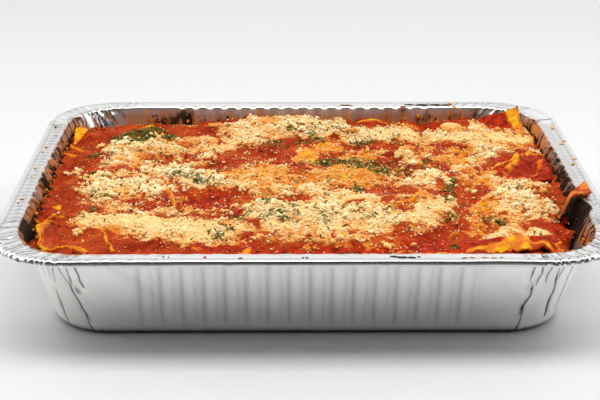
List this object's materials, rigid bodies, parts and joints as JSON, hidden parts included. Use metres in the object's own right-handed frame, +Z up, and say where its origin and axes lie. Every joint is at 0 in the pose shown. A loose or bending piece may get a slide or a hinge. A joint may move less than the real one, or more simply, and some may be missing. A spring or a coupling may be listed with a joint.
{
  "type": "baked lasagne in a foil tray",
  "caption": "Baked lasagne with sauce, crumbled cheese and dried herbs, filling a rectangular foil catering tray with fluted walls, round corners and a rolled rim.",
  "frame": {"origin": "middle of the tray's underside, on the surface that the tray stands on", "axes": "+X along the tray's long side, +Y towards the back wall, so -Y is the front, +Z up"},
  "size_m": [0.324, 0.264, 0.0591],
  "materials": {
    "foil": "bright rolled foil, creased at the corners",
    "sauce": "baked tomato sauce, moist",
    "noodle": "cooked pasta, oily",
    "cheese": "crumbled and melted hard cheese",
    "herbs": "dried herb flakes"
  },
  "bodies": {
    "root": {"foil_tray": "foil", "lasagne_body": "sauce", "noodle_lip_front_left": "noodle", "noodle_arch_front_right": "noodle", "noodle_corner_back_right": "noodle", "noodle_strip_right_rim": "noodle", "noodle_tab_back_left": "noodle", "noodle_fin_middle": "noodle", "noodle_folds_right": "noodle", "noodle_arch_back": "noodle", "noodle_edge_front_left": "noodle", "noodle_blister_back": "noodle"}
  },
  "joints": []
}
